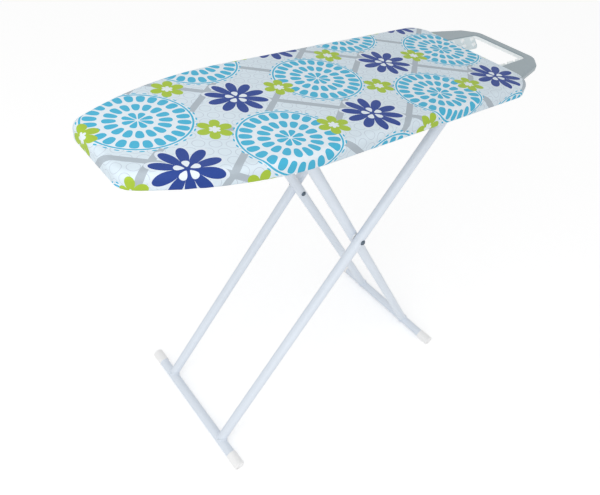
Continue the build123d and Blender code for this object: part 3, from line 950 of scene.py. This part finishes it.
class BOARD_OT_stage(bpy.types.Operator):
    """Set up the floor, the soft light, the white surround and the camera"""
    bl_idname = "board.stage"
    bl_label = "Studio stage"

    def execute(self, context):
        scene = context.scene
        settings = scene.board_stage
        scene.view_settings.view_transform = "Standard"
        floor = self.lay_floor(scene)
        self.hang_surround(scene, settings.world)
        key = self.hang_lamp(scene, "key lamp", settings.key, KEY_PLACE, KEY_SIZE)
        fill = self.hang_lamp(scene, "fill lamp", settings.fill, FILL_PLACE, FILL_SIZE)
        camera = self.stand_camera(scene, settings)
        return {"FINISHED"}

    def lay_floor(self, scene):
        """Matt white paper: it lights up a little for the eye, so only the shadow shows on it,
        and its back is clear, so the underside of the board can be looked at through it."""
        far = FLOOR_HALF
        mesh = bpy.data.meshes.new("floor")
        corners = [(-far, -far, 0.0), (far, -far, 0.0), (far, far, 0.0), (-far, far, 0.0)]
        mesh.from_pydata(corners, [], [(0, 1, 2, 3)])
        floor = bpy.data.objects.new("floor", mesh)
        scene.collection.objects.link(floor)
        material, tree = new_material("matt white paper")
        seen = seen_rays(tree)
        back = add(tree, "ShaderNodeNewGeometry")["Backfacing"]
        close_material(
            tree,
            Base_Color=linear("F4F4F4"),
            Roughness=1.0,
            Specular_IOR_Level=0.0,
            Emission_Color=WHITE,
            Emission_Strength=add(tree, MATH, seen, FLOOR_GLOW, operation="MULTIPLY")[0],
            Alpha=add(tree, MATH, 1.0, back, operation="SUBTRACT")[0],
        )
        mesh.materials.append(material)
        return floor

    def hang_surround(self, scene, strength):
        """An even white surround: full white to the eye, and a softer light on the object."""
        world = bpy.data.worlds.new("white surround")
        scene.world = world
        world.use_nodes = True
        tree = world.node_tree
        tree.nodes.clear()
        seen = seen_rays(tree)
        level = add(tree, MATH, seen, 1 - strength, strength, operation="MULTIPLY_ADD")
        light = add(tree, "ShaderNodeBackground", WHITE, level[0])
        add(tree, "ShaderNodeOutputWorld", light[0])

    def hang_lamp(self, scene, name, power, place, size):
        """A square soft lamp that faces the middle of the board's stand."""
        lamp = bpy.data.lights.new(name, "AREA")
        lamp.energy = power
        lamp.size = size
        holder = bpy.data.objects.new(name, lamp)
        scene.collection.objects.link(holder)
        holder.location = place
        aim = Vector(LAMP_TARGET) - Vector(place)
        holder.rotation_euler = aim.to_track_quat("-Z", "Y").to_euler()
        return holder

    def stand_camera(self, scene, settings):
        """A camera turned by yaw, pitch and roll."""
        ahead = Vector((
            math.sin(settings.yaw) * math.cos(settings.pitch),
            math.cos(settings.yaw) * math.cos(settings.pitch),
            -math.sin(settings.pitch),
        ))
        level = Vector((math.cos(settings.yaw), -math.sin(settings.yaw), 0.0))
        upward = level.cross(ahead)
        right = math.cos(settings.roll) * level + math.sin(settings.roll) * upward
        top = math.cos(settings.roll) * upward - math.sin(settings.roll) * level
        lens = bpy.data.cameras.new("camera")
        lens.sensor_fit = "HORIZONTAL"
        lens.sensor_width = SENSOR_WIDTH
        lens.lens = settings.lens
        camera = bpy.data.objects.new("camera", lens)
        scene.collection.objects.link(camera)
        turn = Matrix((right, top, -ahead)).transposed().to_4x4()
        camera.matrix_world = Matrix.Translation(settings.place) @ turn
        scene.camera = camera
        return camera


class BOARD_PT_panel(bpy.types.Panel):
    """The ironing board's settings"""
    bl_idname = "BOARD_PT_panel"
    bl_label = "Ironing board"
    bl_space_type = "VIEW_3D"
    bl_region_type = "UI"
    bl_category = "Ironing board"

    def draw(self, context):
        scene = context.scene
        for settings in (scene.board_cover, scene.board_stand, scene.board_stage):
            box = self.layout.box()
            for name in settings.bl_rna.properties.keys():
                if name not in ("rna_type", "name"):
                    box.prop(settings, name)
        for operator in OPERATORS:
            self.layout.operator(operator.bl_idname)


OPERATORS = (
    BOARD_OT_filling, BOARD_OT_cover, BOARD_OT_top_steel, BOARD_OT_stand,
    BOARD_OT_caps, BOARD_OT_rest, BOARD_OT_fittings, BOARD_OT_stage,
)
CLASSES = (CoverSettings, StandSettings, StageSettings, *OPERATORS, BOARD_PT_panel)


def register():
    for item in CLASSES:
        bpy.utils.register_class(item)
    bpy.types.Scene.board_cover = PointerProperty(type=CoverSettings)
    bpy.types.Scene.board_stand = PointerProperty(type=StandSettings)
    bpy.types.Scene.board_stage = PointerProperty(type=StageSettings)


def unregister():
    del bpy.types.Scene.board_cover
    del bpy.types.Scene.board_stand
    del bpy.types.Scene.board_stage
    for item in reversed(CLASSES):
        bpy.utils.unregister_class(item)


def main():
    register()
    bpy.ops.board.filling()
    bpy.ops.board.cover()
    bpy.ops.board.top_steel()
    bpy.ops.board.stand()
    bpy.ops.board.caps()
    bpy.ops.board.rest()
    bpy.ops.board.fittings()
    bpy.ops.board.stage()


if __name__ == "__main__":
    main()
